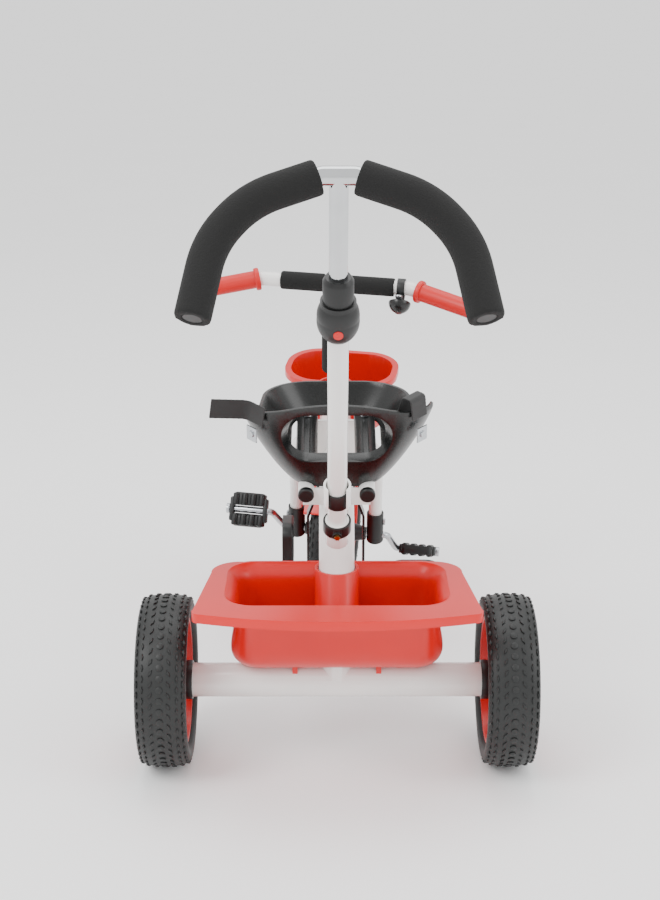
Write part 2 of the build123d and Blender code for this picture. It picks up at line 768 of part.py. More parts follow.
def bar_point(side, distance):
    """Point on the swept-back end of the bar."""
    return bar_bend(side) + grip_direction(side) * distance


def bar_solid():
    """Outer volume of the bar, whose left end is shorter where the grip sits further in."""
    left_end = bar_point(-1, 96 - grip_shift_left)
    points = [tuple(point) for point in (left_end, bar_bend(-1), bar_bend(1), bar_point(1, 96))]
    return bent_bar(points, 30, stem_diameter)


def handlebar():
    """White handlebar: a stem that slides into the steerer and a bar welded across its top."""
    stem = Pos(0, 0, (185 + bar_height) / 2) * Cylinder(stem_diameter / 2, bar_height - 185)
    return bar_solid() + stem


def bar_foam(side):
    """Foam sleeve on the straight part of the bar."""
    reach = bar_foam_reach_left if side < 0 else bar_foam_reach_right
    outer = x_cylinder(11.9, side * 14, side * reach, 0, bar_height)
    sleeve = fillet(outer.edges().filter_by(GeomType.CIRCLE), 1)
    return sleeve - x_cylinder(stem_diameter / 2, side * 10, side * 90, 0, bar_height)


def stem_foam():
    """Foam sleeve round the stem."""
    outer = Pos(0, 0, 306) * Cylinder(18, 88)
    sleeve = fillet(outer.edges().filter_by(GeomType.CIRCLE), 3)
    return sleeve - Pos(0, 0, 306) * Cylinder(stem_diameter / 2, 100)


def grip(side):
    """Red grip with a round flange at its inner end and a closed outer end."""
    inward = grip_shift_left if side < 0 else 0.0
    body = rod(bar_point(side, 10 - inward), bar_point(side, 17 - inward), 30)
    body = fillet(body.edges().filter_by(GeomType.CIRCLE), 2)
    body += rod(bar_point(side, 15 - inward), bar_point(side, 99 - inward), 23.5)
    end = rod(bar_point(side, 97 - inward), bar_point(side, 104 - inward), 27)
    body += fillet(end.edges().filter_by(GeomType.CIRCLE), 2.5)
    return body - bar_solid()


def on_bell(shape):
    """Set a part drawn hanging below the bar's axis at the bell's place, swung back towards the rider."""
    return Pos(bell_x, 0, bar_height) * Rot(bell_tilt, 0, 0) * shape


def bell_base():
    """Clamp strap round the bar with the bell's foot and post on it."""
    strap = washer(12.5, stem_diameter / 2, -5, 5)
    foot = Pos(0, 0, -14.6) * Cylinder(6, 8) - x_cylinder(stem_diameter / 2, -20, 20)
    post = Pos(0, 0, -24) * Cylinder(2.5, 14)
    return on_bell(strap + foot + post)


def bell_dome():
    """Thin black metal dome, open towards the bar."""
    dome = Pos(0, 0, -21) * Rot(180, 0, 0) * (Sphere(14.5) & Pos(0, 0, 10) * Box(40, 40, 20))
    dome -= Pos(0, 0, -21) * Sphere(13.3)
    cap = Pos(0, 0, -33.5) * Cylinder(4.5, 4)
    return on_bell(dome + cap - Pos(0, 0, -24) * Cylinder(2.5, 14))


def bell_lever():
    """Thumb lever that turns on the bell's post."""
    arm = Pos(0, -11, 0) * Box(6, 16, 1.8)
    pad = Pos(0, -19, 0) * Cylinder(4.5, 1.8)
    lever = arm + pad + Cylinder(4.4, 1.8) - Cylinder(2.55, 10)
    return on_bell(Pos(0, 0, -19.8) * lever)


def front_basket():
    """Red plastic basket in front of the stem, tapered, with a rolled rim and a bulge for the stem."""
    wall = basket_wall
    volumes = []
    for grow in (0, -wall):
        floor_face = rounded_rect(116 + 2 * grow, 74 + 2 * grow, 30 + grow, basket_base - grow, 62)
        rim_face = rounded_rect(146 + 2 * grow, 98 + 2 * grow, 42 + grow, basket_top, 55)
        volumes.append(loft([floor_face, rim_face]))
    rim = extrude(rounded_rect(157, 109, 47, basket_top - 9, 55), 9)
    rim -= extrude(rounded_rect(157 - 2 * wall, 109 - 2 * wall, 47 - wall, basket_top - 12, 55), 12 - wall)
    body = (rim + volumes[0]) - volumes[1]
    bulge = Pos(0, 0, basket_top - 42) * Cylinder(25, 84)
    body += bulge & volumes[0]
    body -= Pos(0, 24, bracket_z) * Rot(90, 0, 0) * Cylinder(2.05, 12)
    return body - Pos(0, 0, 200) * Cylinder(22, 120)


def basket_bracket():
    """White steel clamp on the stem with a tab that carries the basket's rear wall."""
    clamp = Cylinder(15, 8) + Pos(0, 17.4, 0) * Box(12, 7, 8) - Cylinder(stem_diameter / 2, 20)
    clamp -= Pos(0, 17, 0) * Rot(90, 0, 0) * Cylinder(2.05, 12)
    return Pos(0, 0, bracket_z) * clamp


def basket_screw():
    """Screw through the basket's bulge into the bracket."""
    screw = Pos(0, 20, bracket_z) * Rot(90, 0, 0) * Cylinder(2, 10.2)
    return screw + Pos(0, 26.3, bracket_z) * Rot(90, 0, 0) * Cylinder(4.2, 2.4)


def crank_frame(shape):
    """Turn a part drawn with the right crank pointing forward to the crank's real position."""
    angle = -(crank_elevation + steering_lean)
    return Pos(0, front_wheel_lead, 0) * Rot(angle, 0, 0) * shape


def crank_rod():
    """One bent steel rod: axle, both crank arms and both pedal spindles."""
    half = [(75, 0, 0), (80, crank_radius, 0), (pedal_x + 30, crank_radius, 0)]
    other = [(-x, -y, z) for x, y, z in reversed(half)]
    return crank_frame(bent_bar(other + half, 7, crank_diameter))


def pedal(side, tilt):
    """Black plastic pedal: a rounded block on the spindle with a recess at its inner end."""
    body = Box(54, 50, 19)
    body = fillet(body.edges().filter_by(Axis.Z), 17)
    body = fillet(body.edges().group_by(Axis.Z)[0] + body.edges().group_by(Axis.Z)[-1], 3)
    body -= Rot(0, 90, 0) * Cylinder(crank_diameter / 2 + 0.06, 80)
    body -= Pos(-side * 25, 0, 0) * Rot(0, 90, 0) * Cylinder(8, 12)
    turned = Rot(tilt + crank_elevation + steering_lean, 0, 0) * body
    return crank_frame(Pos(side * pedal_x, side * crank_radius, 0) * turned)


def pedal_caps():
    """Steel caps that keep the pedals on their spindles."""
    start = pedal_x + 27.4
    caps = []
    for side in (-1, 1):
        cap = x_cylinder(7, side * start, side * (start + 4.1))
        cap -= x_cylinder(crank_diameter / 2, side * (start - 5), side * (pedal_x + 30))
        caps += (Pos(0, side * crank_radius, 0) * cap).solids()
    return crank_frame(Compound(children=caps))


if __name__ == "__main__":
    nodes = {
        "frame": frame(),
        "rail_end_caps": rail_end_caps(),
        "rear_axle_rod": rear_axle_rod(),
        "axle_bushes": axle_bushes(),
        "rear_axle_nuts": rear_axle_nuts(),
        "seat_shell": seat_shell(),
        "seat_bolts": seat_bolts(),
        "belt_anchors": belt_anchors(),
        "belt_strap_left": belt_strap_left(),
        "belt_strap_right": belt_strap_right(),
        "rear_basket": rear_basket(),
        "rear_basket_screws": rear_basket_screws(),
        "push_tube": push_tube(),
        "push_bushing": push_bushing(),
        "push_clamp": push_clamp(),
        "push_clamp_bolt": push_clamp_bolt(),
        "lock_collar": lock_collar(),
        "lock_button": lock_button(),
        "button_spring": button_spring(),
        "handle_tube": handle_tube(),
        "foam_grip_left": foam_grip(-1),
        "foam_grip_right": foam_grip(1),
        "handle_end_plugs": handle_end_plugs(),
        "footrest_bracket": footrest_bracket(),
        "footrest_pins": footrest_pins(),
        "footrest_left": footrest(-1, True),
        "footrest_right": footrest(1, False),
        "headset_cups": headset_cups(),
        "fork": steered(fork()),
        "axle_holders": axle_holders(),
        "holder_bolts": holder_bolts(),
        "front_mudguard": steered(front_mudguard()),
        "mudguard_screw": steered(mudguard_screw()),
        "steerer_nut": steered(steerer_nut()),
        "handlebar": steered(handlebar()),
        "bar_foam_left": steered(bar_foam(-1)),
        "bar_foam_right": steered(bar_foam(1)),
        "stem_foam": steered(stem_foam()),
        "grip_left": steered(grip(-1)),
        "grip_right": steered(grip(1)),
        "bell_base": steered(bell_base()),
        "bell_dome": steered(bell_dome()),
        "bell_lever": steered(bell_lever()),
        "front_basket": steered(front_basket()),
        "basket_bracket": steered(basket_bracket()),
        "basket_screw": steered(basket_screw()),
        "front_tyre": steered(front_tyre()),
        "front_rim": steered(front_rim()),
        "hub_cones": steered(hub_cones()),
        "crank_rod": steered(crank_rod()),
        "pedal_left": steered(pedal(-1, pedal_left_tilt - steering_lean)),
        "pedal_right": steered(pedal(1, pedal_right_tilt - steering_lean)),
        "pedal_caps": steered(pedal_caps()),
    }
    for side, word in ((-1, "left"), (1, "right")):
        nodes[f"rear_rim_{word}"] = rear_rim(side)
        nodes[f"rear_tyre_{word}"] = rear_tyre(side)
        nodes[f"rear_hub_cap_{word}"] = rear_hub_cap(side)
    for name, shape in nodes.items():
        save(name, shape)
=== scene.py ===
# %% [markdown]
# # A child's tricycle, dressed for its picture
# The engineering model arrives first as a fixed frame: every tube, wheel and bolt is already in its
# place and at its real size, in metres. This lesson gives those pieces their finishes, and makes
# again the ones that need more than a plain solid: the tyres with their tread, the foam sleeves, the
# pedals and the webbing.

# %% Load the frame
import bmesh
import bpy
import json
from math import atan2, cos, pi, radians, sin
from mathutils import Matrix, Vector


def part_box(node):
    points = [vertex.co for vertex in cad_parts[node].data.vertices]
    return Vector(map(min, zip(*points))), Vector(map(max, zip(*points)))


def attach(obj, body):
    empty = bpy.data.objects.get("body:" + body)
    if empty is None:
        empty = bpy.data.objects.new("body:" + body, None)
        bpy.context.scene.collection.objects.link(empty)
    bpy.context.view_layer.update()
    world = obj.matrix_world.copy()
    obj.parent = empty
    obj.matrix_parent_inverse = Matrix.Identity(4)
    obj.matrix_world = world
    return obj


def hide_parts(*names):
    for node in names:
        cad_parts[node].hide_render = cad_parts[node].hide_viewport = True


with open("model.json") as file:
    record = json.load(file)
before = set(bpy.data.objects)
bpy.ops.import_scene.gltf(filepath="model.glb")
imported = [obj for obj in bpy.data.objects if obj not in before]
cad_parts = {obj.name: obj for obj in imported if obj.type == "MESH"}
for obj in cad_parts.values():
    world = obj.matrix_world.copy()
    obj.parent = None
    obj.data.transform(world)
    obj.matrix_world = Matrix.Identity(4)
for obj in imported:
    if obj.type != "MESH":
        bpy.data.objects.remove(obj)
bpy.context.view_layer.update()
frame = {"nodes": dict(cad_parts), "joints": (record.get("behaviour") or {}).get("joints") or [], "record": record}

nodes = frame["nodes"]


# %% [markdown]
# ## Camera
# The tricycle is seen from behind, a little from above, through a lens of 65 mm on a 36 mm frame. The
# camera is placed from the rear axle, because that is the piece whose size is known best.

# %% Camera
def middle(node):
    """Centre of a piece's box."""
    low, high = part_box(node)
    return (Vector(low) + Vector(high)) / 2


axle = middle("rear_axle_rod")
camera_data = bpy.data.cameras.new("camera")
camera_data.lens = 65
camera_data.sensor_width = 36
camera = bpy.data.objects.new("camera", camera_data)
camera.location = axle + Vector((-0.012, -1.756, 0.8215))
camera.rotation_euler = (radians(90 - 17.04), 0, radians(-0.13))
bpy.context.scene.collection.objects.link(camera)
bpy.context.scene.camera = camera
print("camera at", tuple(round(value, 3) for value in camera.location))


# %% [markdown]
# ## Floor and light
# A pale sheet of studio paper fills the picture, lit by a bright, even sky and three large soft lamps. Large
# lamps give long soft highlights on tubes and gloss plastic, and keep shadows faint.

# %% Floor and light
def add_node(tree, kind, inputs=None, **settings):
    """Add a shader node, set its options, and fill or link its inputs."""
    made = tree.nodes.new(kind)
    for name, value in settings.items():
        setattr(made, name, value)
    for name, value in (inputs or {}).items():
        matching = [socket for socket in made.inputs if socket.enabled and socket.name == name]
        socket = matching[0] if matching else made.inputs[name]
        if isinstance(value, bpy.types.NodeSocket):
            tree.links.new(value, socket)
        else:
            socket.default_value = value
    return made


def linear(hex_code):
    """Turn an sRGB hex colour into linear red, green, blue and alpha."""
    channels = [int(hex_code[start : start + 2], 16) / 255 for start in (0, 2, 4)]
    return (*[c / 12.92 if c <= 0.04045 else ((c + 0.055) / 1.055) ** 2.4 for c in channels], 1.0)


def new_material(name):
    """Empty node material with its shader and output joined."""
    material = bpy.data.materials.new(name)
    material.use_nodes = True
    tree = material.node_tree
    tree.nodes.clear()
    shader = add_node(tree, "ShaderNodeBsdfPrincipled")
    add_node(tree, "ShaderNodeOutputMaterial", {"Surface": shader.outputs["BSDF"]})
    return material, tree, shader


def deselect():
    """Leave edit mode with nothing selected."""
    if bpy.context.mode != "OBJECT":
        bpy.ops.object.mode_set(mode="OBJECT")
    bpy.ops.object.select_all(action="DESELECT")


deselect()
bpy.ops.mesh.primitive_plane_add(size=160, location=(0, 0, -0.001))
floor = bpy.context.object
floor.name = "floor"
paper, paper_tree, paper_shader = new_material("studio paper")
paper_grain = add_node(paper_tree, "ShaderNodeTexNoise", {"Scale": 400.0})
paper_range = {"Value": paper_grain.outputs["Fac"], "To Min": 0.93, "To Max": 0.96}
paper_tone = add_node(paper_tree, "ShaderNodeMapRange", paper_range)
paper_tree.links.new(paper_tone.outputs["Result"], paper_shader.inputs["Base Color"])
paper_shader.inputs["Roughness"].default_value = 0.9
floor.data.materials.append(paper)

world = bpy.data.worlds.new("white sky")
world.use_nodes = True
world.node_tree.nodes["Background"].inputs["Color"].default_value = (1, 1, 1, 1)
world.node_tree.nodes["Background"].inputs["Strength"].default_value = 1.5
bpy.context.scene.world = world


def soft_lamp(name, place, target, size, power):
    """Large square lamp aimed at a point."""
    data = bpy.data.lights.new(name, "AREA")
    data.size = size
    data.energy = power
    lamp = bpy.data.objects.new(name, data)
    lamp.location = place
    lamp.rotation_euler = (Vector(target) - Vector(place)).to_track_quat("-Z", "Y").to_euler()
    bpy.context.scene.collection.objects.link(lamp)


soft_lamp("key", (-1.6, -1.4, 2.2), (0, 0, 0.3), 1.2, 42)
soft_lamp("fill", (1.9, -0.9, 1.5), (0, 0, 0.3), 1.4, 20)
soft_lamp("top", (0, 0.6, 2.6), (0, 0, 0.2), 1.6, 24)
print("three lamps and a paper floor")


# %% [markdown]
# ## Finishes
# Each finish starts from the real thing: powder paint on steel tube, polypropylene mouldings, closed-
# cell foam, chrome plate, zinc plate, brass and woven nylon. A fine bump and a little change of
# roughness keep every one of them from looking like a flat colour.

# %% Paint and plastic
def moulded(name, dark, light, rough, grain_mm, grain_depth_mm, coat=0.0):
    """Moulded or painted skin: near-even colour, fine texture and slightly uneven gloss."""
    material, tree, shader = new_material(name)
    place = add_node(tree, "ShaderNodeTexCoord").outputs["Object"]
    slow = add_node(tree, "ShaderNodeTexNoise", {"Vector": place, "Scale": 14.0})
    fine = add_node(tree, "ShaderNodeTexNoise", {"Vector": place, "Scale": 1000 / grain_mm, "Detail": 3.0})
    tone = add_node(
        tree,
        "ShaderNodeMix",
        {0: slow.outputs["Fac"], "A": linear(dark), "B": linear(light)},
        data_type="RGBA",
    )
    tree.links.new(tone.outputs[2], shader.inputs["Base Color"])
    rough_range = {"Value": fine.outputs["Fac"], "To Min": rough * 0.85, "To Max": rough * 1.15}
    gloss = add_node(tree, "ShaderNodeMapRange", rough_range)
    tree.links.new(gloss.outputs["Result"], shader.inputs["Roughness"])
    shader.inputs["IOR"].default_value = 1.49
    shader.inputs["Coat Weight"].default_value = coat
    grain = {"Height": fine.outputs["Fac"], "Strength": 0.35, "Distance": grain_depth_mm / 1000}
    texture = add_node(tree, "ShaderNodeBump", grain)
    tree.links.new(texture.outputs["Normal"], shader.inputs["Normal"])
    return material


# White powder paint on the steel: a glossy skin with the faint orange-peel ripple of a baked coating.
white_paint = moulded("white powder paint", "E6E4E1", "F1EFEC", 0.24, 3.0, 0.15, 0.4)
# Gloss red polypropylene of the baskets, guard and rims: bright, waxy, faintly uneven.
red_gloss = moulded("red polypropylene", "C60400", "D20802", 0.3, 1.2, 0.02)
# Soft red vinyl of the grips: a little duller than the baskets.
red_vinyl = moulded("red vinyl", "BC0804", "C80C06", 0.42, 0.8, 0.05)
# Black polypropylene of the seat: semi-gloss, with grey highlights along its curves.
seat_black = moulded("black polypropylene", "090A0A", "101211", 0.28, 0.9, 0.03)
# Duller black nylon of caps, bushes, collars, pedals and footrests.
trim_black = moulded("black glass-filled nylon", "070808", "0E0F0F", 0.42, 0.7, 0.05)
# Black paint on the steel hanger and the bell.
black_paint = moulded("black enamel paint", "060606", "0C0C0C", 0.28, 3.0, 0.05)
print("paint and plastic ready")


# %% [markdown]
# Foam skin is a crowd of small cells, so a cell pattern drives its bump. Webbing shows one rib for each pick
# of its weave, so a band pattern does the same for it.

# %% Foam and webbing
def foam(name, dark, light, cell_mm, depth_mm, rough):
    """Closed-cell foam: matt, with small open cells on its skin."""
    material, tree, shader = new_material(name)
    place = add_node(tree, "ShaderNodeTexCoord").outputs["Object"]
    cells = add_node(tree, "ShaderNodeTexVoronoi", {"Vector": place, "Scale": 1000 / cell_mm})
    cloud = add_node(tree, "ShaderNodeTexNoise", {"Vector": place, "Scale": 400 / cell_mm, "Detail": 4.0})
    height = add_node(
        tree, "ShaderNodeMath", {0: cells.outputs["Distance"], 1: cloud.outputs["Fac"]}, operation="ADD"
    )
    tone = add_node(
        tree,
        "ShaderNodeMix",
        {0: cloud.outputs["Fac"], "A": linear(dark), "B": linear(light)},
        data_type="RGBA",
    )
    tree.links.new(tone.outputs[2], shader.inputs["Base Color"])
    shader.inputs["Roughness"].default_value = rough
    skin = {"Height": height.outputs["Value"], "Strength": 0.7, "Distance": depth_mm / 1000}
    texture = add_node(tree, "ShaderNodeBump", skin)
    tree.links.new(texture.outputs["Normal"], shader.inputs["Normal"])
    return material


def woven(name, dark, light, rib_mm):
    """Nylon webbing: ribs across the strap, one for every pick of the weave."""
    material, tree, shader = new_material(name)
    place = add_node(tree, "ShaderNodeTexCoord").outputs["Object"]
    weave = add_node(tree, "ShaderNodeTexWave", {"Vector": place, "Scale": 320 / rib_mm, "Distortion": 0.6})
    tone = add_node(
        tree,
        "ShaderNodeMix",
        {0: weave.outputs["Fac"], "A": linear(dark), "B": linear(light)},
        data_type="RGBA",
    )
    tree.links.new(tone.outputs[2], shader.inputs["Base Color"])
    shader.inputs["Roughness"].default_value = 0.72
    shader.inputs["Sheen Weight"].default_value = 0.2
    ribs = {"Height": weave.outputs["Fac"], "Strength": 0.6, "Distance": 0.0003}
    texture = add_node(tree, "ShaderNodeBump", ribs)
    tree.links.new(texture.outputs["Normal"], shader.inputs["Normal"])
    return material


# The push handle's foam: dead matt, with cells that swallow nearly all the light.
handle_foam = foam("nitrile foam", "050505", "0C0C0B", 1.6, 0.5, 0.9)
# The tyres' moulded foam skin is smoother and slightly shiny.
tyre_foam = foam("moulded tyre foam", "070909", "0F1211", 2.2, 0.1, 0.5)
# The belt's webbing shows a soft grey rib.
webbing = woven("nylon webbing", "0A0A0A", "1A1A1A", 1.2)
print("foam and webbing ready")


# %% [markdown]
# Chrome is a mirror with a faint haze, zinc plate is duller and cloudy, and the clamp's bolt is brass
# plated. A metal keeps the shader's own index of refraction, and takes its look from colour and
# roughness alone.

# %% Metals
def metal(name, dark, light, rough_low, rough_high, cloud_mm, bump_mm):
    """Plated metal: full metallic, cloudy roughness and a trace of surface waviness."""
    material, tree, shader = new_material(name)
    place = add_node(tree, "ShaderNodeTexCoord").outputs["Object"]
    cloud = add_node(tree, "ShaderNodeTexNoise", {"Vector": place, "Scale": 1000 / cloud_mm, "Detail": 3.0})
    tone = add_node(
        tree,
        "ShaderNodeMix",
        {0: cloud.outputs["Fac"], "A": linear(dark), "B": linear(light)},
        data_type="RGBA",
    )
    tree.links.new(tone.outputs[2], shader.inputs["Base Color"])
    gloss = add_node(
        tree, "ShaderNodeMapRange", {"Value": cloud.outputs["Fac"], "To Min": rough_low, "To Max": rough_high}
    )
    tree.links.new(gloss.outputs["Result"], shader.inputs["Roughness"])
    shader.inputs["Metallic"].default_value = 1.0
    texture = add_node(
        tree, "ShaderNodeBump", {"Height": cloud.outputs["Fac"], "Strength": 0.15, "Distance": bump_mm / 1000}
    )
    tree.links.new(texture.outputs["Normal"], shader.inputs["Normal"])
    return material


# Chrome plate on the handle tube: a near mirror.
chrome = metal("chrome plate", "B4B6B8", "CBCDCE", 0.05, 0.1, 40, 0.05)
# Zinc plate on spindles, crank and screws: greyer and cloudier.
zinc = metal("zinc plate", "A9ACB0", "C6C9CC", 0.22, 0.38, 6, 0.03)
# Brass plate on the clamp's bolt: a dull yellow.
brass = metal("brass plate", "B08A48", "CDA963", 0.22, 0.34, 5, 0.03)
print("metals ready")


# %% [markdown]
# ## Dressing the engineering pieces
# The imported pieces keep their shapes. Their edges are sharp, as a drawing's are, so each gets a weld and a
# small bevel: a rounded edge catches a thin line of light, which is what makes a moulding look moulded.

# %% Assign finishes
finishes = {
    "white_paint": white_paint,
    "black_plastic": trim_black,
    "seat_plastic": seat_black,
    "red_plastic": red_gloss,
    "red_grip": red_vinyl,
    "tyre_foam": tyre_foam,
    "handle_foam": handle_foam,
    "chrome_tube": chrome,
    "zinc_steel": zinc,
    "brass_bolt": brass,
    "black_paint": black_paint,
    "webbing": webbing,
}
slot_of = {entry["node"]: entry["material_slot"] for entry in frame["record"]["subparts"]}
edge_radius = {
    "rear_basket": 0.0012,
    "front_basket": 0.0012,
    "seat_shell": 0.0016,
    "foam_grip_left": 0.004,
    "foam_grip_right": 0.004,
    "frame": 0.0006,
}


def round_edges(piece, radius, angle=32):
    """Weld loose triangles and round the edges sharper than the angle."""
    weld = piece.modifiers.new("weld", "WELD")
    weld.merge_threshold = 0.00002
    edges = piece.modifiers.new("round", "BEVEL")
    edges.width = radius
    edges.segments = 3
    edges.limit_method = "ANGLE"
    edges.angle_limit = radians(angle)
    edges.harden_normals = True
    edges.use_clamp_overlap = True


for name, piece in nodes.items():
    piece.data.materials.clear()
    piece.data.materials.append(finishes[slot_of[name]])
    round_edges(piece, edge_radius.get(name, 0.0005))
print("finishes on", len(nodes), "pieces")


# %% [markdown]
# ## Helpers for the new pieces
# Every new piece is modelled on the origin with its spin axis along X, then its mesh is carried to its real
# place by one matrix. The object itself stays unturned and unscaled, so patterns on it keep their size.

# %% Helpers
def edit_all(piece):
    """Enter edit mode on one piece with everything selected."""
    deselect()
    bpy.context.view_layer.objects.active = piece
    piece.select_set(True)
    bpy.ops.object.mode_set(mode="EDIT")
    bpy.ops.mesh.select_all(action="SELECT")


def leave_edit():
    """Merge doubles, point the faces outwards and go back to object mode."""
    bpy.ops.mesh.select_all(action="SELECT")
    bpy.ops.mesh.remove_doubles(threshold=0.00001)
    bpy.ops.mesh.normals_make_consistent(inside=False)
    bpy.ops.object.mode_set(mode="OBJECT")


def apply_all(piece):
    """Apply every modifier on a piece."""
    deselect()
    bpy.context.view_layer.objects.active = piece
    piece.select_set(True)
    for modifier in list(piece.modifiers):
        bpy.ops.object.modifier_apply(modifier=modifier.name)


def smooth(piece, angle=35):
    """Smooth shading that keeps edges sharper than the angle."""
    deselect()
    bpy.context.view_layer.objects.active = piece
    piece.select_set(True)
    bpy.ops.object.shade_smooth_by_angle(angle=radians(angle))


def set_down(piece, name, matrix, material, body, stands_for):
    """Carry a finished mesh to its place, dress it and give it its body and node."""
    piece.data.transform(matrix @ piece.matrix_world)
    piece.matrix_world = Matrix.Identity(4)
    piece.name = name
    piece.data.materials.clear()
    piece.data.materials.append(material)
    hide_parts(stands_for)
    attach(piece, body)


joints = {joint["name"]: joint for joint in frame["joints"]}


def spin_frame(joint_name):
    """Matrix that carries the X axis and the origin to a joint's axis and centre."""
    joint = joints[joint_name]
    turn = Vector((1, 0, 0)).rotation_difference(Vector(joint["axis"]))
    return Matrix.Translation(Vector(joint["pos_m"])) @ turn.to_matrix().to_4x4()


# %% [markdown]
# ## Foam tyres
# A moulded foam tyre is one solid ring with its tread cast in. The ring starts as a circle, squared
# into the tyre's D-shaped section and spun round the axle. The tread has seven rows: round studs in
# the middle, then on each side a row of slanted bars and two rows of straight ones on the shoulder.
# Each kind of stud is modelled once and copied round the ring.

# %% Tyre ring
def tyre_ring(radius, width, rim_radius):
    """Ring of a tyre: a squared circle spun once round the X axis."""
    middle_radius = (radius + rim_radius) / 2
    bpy.ops.mesh.primitive_circle_add(vertices=32, radius=1, fill_type="NOTHING")
    ring = bpy.context.object
    for vertex in ring.data.vertices:
        angle = atan2(vertex.co.y, vertex.co.x)
        across = abs(cos(angle)) ** 0.62 * (1 if cos(angle) > 0 else -1)
        outwards = abs(sin(angle)) ** 0.8 * (1 if sin(angle) > 0 else -1)
        vertex.co = (width / 2 * across, 0, middle_radius + (radius - rim_radius) / 2 * outwards)
    edit_all(ring)
    bpy.ops.mesh.spin(steps=108, angle=2 * pi, center=(0, 0, 0), axis=(1, 0, 0))
    leave_edit()
    return ring


def stud(length, width, height, corners):
    """One tread stud: a short prism with a smaller top, standing on the XY plane."""
    bpy.ops.mesh.primitive_cylinder_add(vertices=corners, radius=0.5, depth=1, location=(0, 0, 0))
    made = bpy.context.object
    edit_all(made)
    bpy.ops.transform.resize(value=(width, length, height))
    bpy.ops.mesh.select_all(action="DESELECT")
    bpy.ops.object.mode_set(mode="OBJECT")
    for face in made.data.polygons:
        face.select = face.normal.z > 0.9
    bpy.ops.object.mode_set(mode="EDIT")
    bpy.ops.mesh.inset(thickness=min(width, length) * 0.14, depth=height * 0.12)
    bpy.ops.object.mode_set(mode="OBJECT")
    return made


def copy_round(ring, template, count, radius, across, slant, phase):
    """Join copies of a stud to the ring, standing on it at even steps."""
    mesh = bmesh.new()
    mesh.from_mesh(ring.data)
    for index in range(count):
        angle = 2 * pi * (index + phase) / count
        place = Matrix.Rotation(angle, 4, "X") @ Matrix.Translation((across, 0, radius))
        place = place @ Matrix.Rotation(radians(slant), 4, "Z")
        copied = template.data.copy()
        copied.transform(place)
        mesh.from_mesh(copied)
        bpy.data.meshes.remove(copied)
    mesh.to_mesh(ring.data)
    mesh.free()


def section_height(radius, width, rim_radius, across):
    """Radius of the ring's surface at a distance from its middle plane."""
    outwards = (1 - min(1.0, abs(across) / (width / 2)) ** (2 / 0.62)) ** 0.5
    return (radius + rim_radius) / 2 + (radius - rim_radius) / 2 * outwards ** 0.8


def treaded_tyre(radius, width, rim_radius, count):
    """Whole tyre: a ring and seven rows of studs whose tops reach the full radius."""
    tread = 0.0013
    ring = tyre_ring(radius - tread, width - 0.001, rim_radius)
    pitch = 2 * pi * radius / count
    round_stud = stud(pitch * 0.62, pitch * 0.62, 0.004, 10)
    bar = stud(pitch * 0.7, pitch * 0.24, 0.004, 4)
    shoulder_bar = stud(pitch * 0.66, pitch * 0.26, 0.004, 4)
    # Each row: its stud, its share of the width off the middle, its slant in degrees, its phase in steps.
    rows = (
        (round_stud, 0.0, 0, 0.0),
        (bar, 0.17, 28, 0.5),
        (shoulder_bar, 0.33, 0, 0.0),
        (shoulder_bar, 0.44, 0, 0.5),
    )
    for template, share, slant, phase in rows:
        for side in ((-1, 1) if share else (1,)):
            across = side * share * width
            standing = section_height(radius - tread, width, rim_radius, across) + tread - 0.0022
            copy_round(ring, template, count, standing, across, side * slant, phase)
    for template in (round_stud, bar, shoulder_bar):
        bpy.data.objects.remove(template)
    smooth(ring, 40)
    return ring


# Sizes in metres, and how many studs go round one row.
rear_rim_radius = 0.0762
rear_stud_count = 50
front_radius = 0.125
front_width = 0.042
front_rim_radius = 0.0992
front_stud_count = 58
for word in ("left", "right"):
    low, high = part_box("rear_tyre_" + word)
    tyre = treaded_tyre((high[2] - low[2]) / 2, high[0] - low[0], rear_rim_radius, rear_stud_count)
    set_down(tyre, "treaded_tyre_" + word, spin_frame(f"rear_wheel_{word}_spin"), tyre_foam,
             "rear_wheel_" + word, "rear_tyre_" + word)
    print("rear tyre", word, len(tyre.data.polygons), "faces")
tyre = treaded_tyre(front_radius, front_width, front_rim_radius, front_stud_count)
place = spin_frame("front_wheel_spin")
set_down(tyre, "treaded_tyre_front", place, tyre_foam, "front_wheel", "front_tyre")
print("front tyre", len(tyre.data.polygons), "faces")


# %% [markdown]
# ## Foam sleeves
# Foam sleeves are pushed over the tubes wet and grip them by their own stretch, so their ends bulge
# and round off. Each starts from the engineering sleeve, is rebuilt as an even fine mesh and relaxed
# until its ends are soft.

# %% Foam sleeves
def soft_sleeve(node, body, voxel):
    """Even, relaxed copy of a sleeve with rounded ends."""
    piece = bpy.data.objects.new("soft_" + node, nodes[node].data.copy())
    bpy.context.scene.collection.objects.link(piece)
    edit_all(piece)
    leave_edit()
    even = piece.modifiers.new("even", "REMESH")
    even.mode = "VOXEL"
    even.voxel_size = voxel
    relaxed = piece.modifiers.new("relaxed", "SMOOTH")
    relaxed.factor = 0.5
    relaxed.iterations = 12
    swollen = piece.modifiers.new("swollen", "DISPLACE")
    swollen.strength = 0.0003
    swollen.mid_level = 0
    apply_all(piece)
    smooth(piece, 60)
    set_down(piece, "soft_" + node, Matrix.Identity(4), handle_foam, body, node)
    print(piece.name, len(piece.data.polygons), "faces")


for node in ("foam_grip_left", "foam_grip_right"):
    soft_sleeve(node, "push_handle", 0.0016)
for node in ("bar_foam_left", "bar_foam_right", "stem_foam"):
    soft_sleeve(node, "steering", 0.0012)


# %% [markdown]
# ## Pedals
# A small child's pedal is a rounded block with a wavy tread, so that shoes grip it, and a slot that
# shows the spindle. Two half pads are joined by end plates, and four rounded ridges run across each
# face.

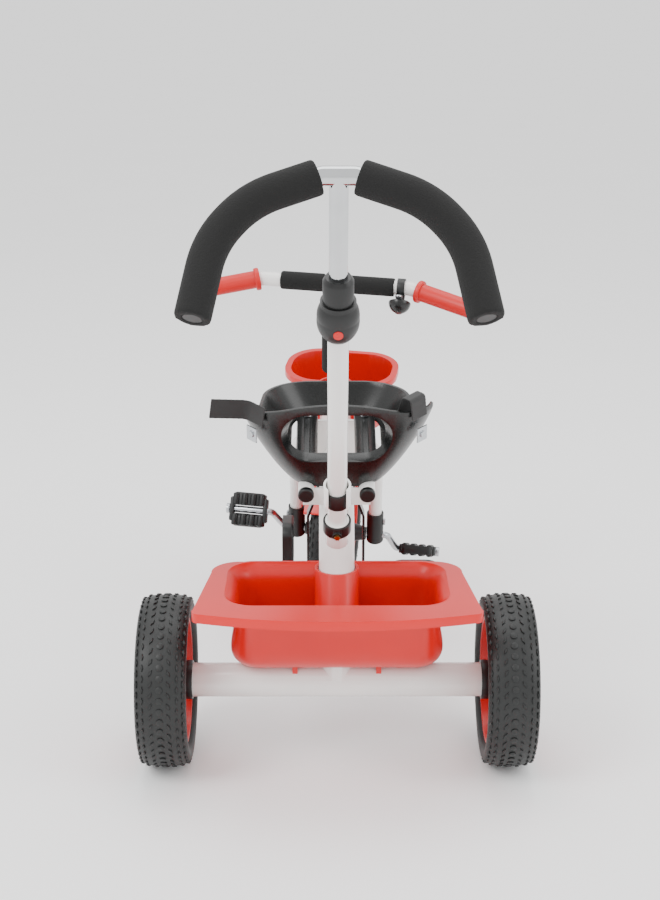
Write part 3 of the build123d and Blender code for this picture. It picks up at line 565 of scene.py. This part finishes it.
# %% Pedals
def rounded_block(size, place, corner):
    """Box with its upright edges rounded and its rims softened."""
    bpy.ops.mesh.primitive_cube_add(size=1, location=(0, 0, 0))
    block = bpy.context.object
    edit_all(block)
    bpy.ops.transform.resize(value=size)
    bpy.ops.transform.translate(value=place)
    bpy.ops.mesh.select_all(action="DESELECT")
    bpy.ops.object.mode_set(mode="OBJECT")
    for edge in block.data.edges:
        ends = [block.data.vertices[index].co for index in edge.vertices]
        edge.select = abs(ends[0].z - ends[1].z) > size[2] / 2
    bpy.ops.object.mode_set(mode="EDIT")
    bpy.ops.mesh.select_mode(type="EDGE")
    bpy.ops.mesh.bevel(offset=corner, segments=6)
    leave_edit()
    return block


def join(parts):
    """Join several meshes into the first."""
    deselect()
    for part in parts:
        part.select_set(True)
    bpy.context.view_layer.objects.active = parts[0]
    bpy.ops.object.join()
    return parts[0]


def ridge(place, length, radius):
    """Rounded ridge across the pedal, tapering at its ends."""
    bpy.ops.mesh.primitive_cylinder_add(vertices=16, radius=radius, depth=length, rotation=(radians(90), 0, 0))
    made = bpy.context.object
    bpy.ops.object.transform_apply(location=False, rotation=True, scale=False)
    made.data.transform(Matrix.Translation(place))
    soften = made.modifiers.new("soften", "BEVEL")
    soften.width = radius * 0.45
    soften.segments = 3
    soften.limit_method = "ANGLE"
    apply_all(made)
    return made


def wavy_pedal():
    """One pedal on the origin, its spindle along X."""
    parts = []
    for side in (-1, 1):
        parts.append(rounded_block((0.046, 0.0185, 0.0125), (0, side * 0.0148, 0), 0.006))
        parts.append(rounded_block((0.006, 0.034, 0.0135), (side * 0.0235, 0, 0), 0.0025))
        for face in (-1, 1):
            for step in range(4):
                x = (step - 1.5) * 0.0122
                parts.append(ridge((x, side * 0.0145, face * 0.0042), 0.0165, 0.005))
    pedal = join(parts)
    soften = pedal.modifiers.new("soften", "BEVEL")
    soften.width = 0.0009
    soften.segments = 2
    soften.limit_method = "ANGLE"
    apply_all(pedal)
    smooth(pedal, 40)
    return pedal


lean_back = Matrix.Rotation(radians(12), 4, "X") @ Matrix.Rotation(radians(-10), 4, "Z")
for word, tilt in (("left", 58), ("right", -32)):
    pedal = wavy_pedal()
    place = Matrix.Translation(Vector(joints[f"pedal_{word}_spin"]["pos_m"])) @ lean_back
    place = place @ Matrix.Rotation(radians(tilt), 4, "X")
    body = f"pedal_{word}_body"
    set_down(pedal, "wavy_pedal_" + word, place, trim_black, body, "pedal_" + word)
    print("pedal", word, len(pedal.data.polygons), "faces")

# %% [markdown]
# ## Belt straps
# Webbing is a flat woven band that keeps its width and bends only along its length. Each strap starts
# from the engineering band, is rebuilt as an even mesh and relaxed a little, so that its edges turn
# over as selvedges do.

# %% Belt straps
# Width and length of each strap laid flat, in metres, along the middle of its route.
strap_flat = {"belt_strap_left": (0.025, 0.068), "belt_strap_right": (0.025, 0.142)}
for node, flat in strap_flat.items():
    strap = bpy.data.objects.new("woven_" + node, nodes[node].data.copy())
    bpy.context.scene.collection.objects.link(strap)
    edit_all(strap)
    leave_edit()
    even = strap.modifiers.new("even", "REMESH")
    even.mode = "VOXEL"
    even.voxel_size = 0.0006
    relaxed = strap.modifiers.new("relaxed", "SMOOTH")
    relaxed.factor = 0.5
    relaxed.iterations = 3
    apply_all(strap)
    smooth(strap, 60)
    set_down(strap, "woven_" + node, Matrix.Identity(4), webbing, "frame_body", node)
    print(strap.name, len(strap.data.polygons), "faces")
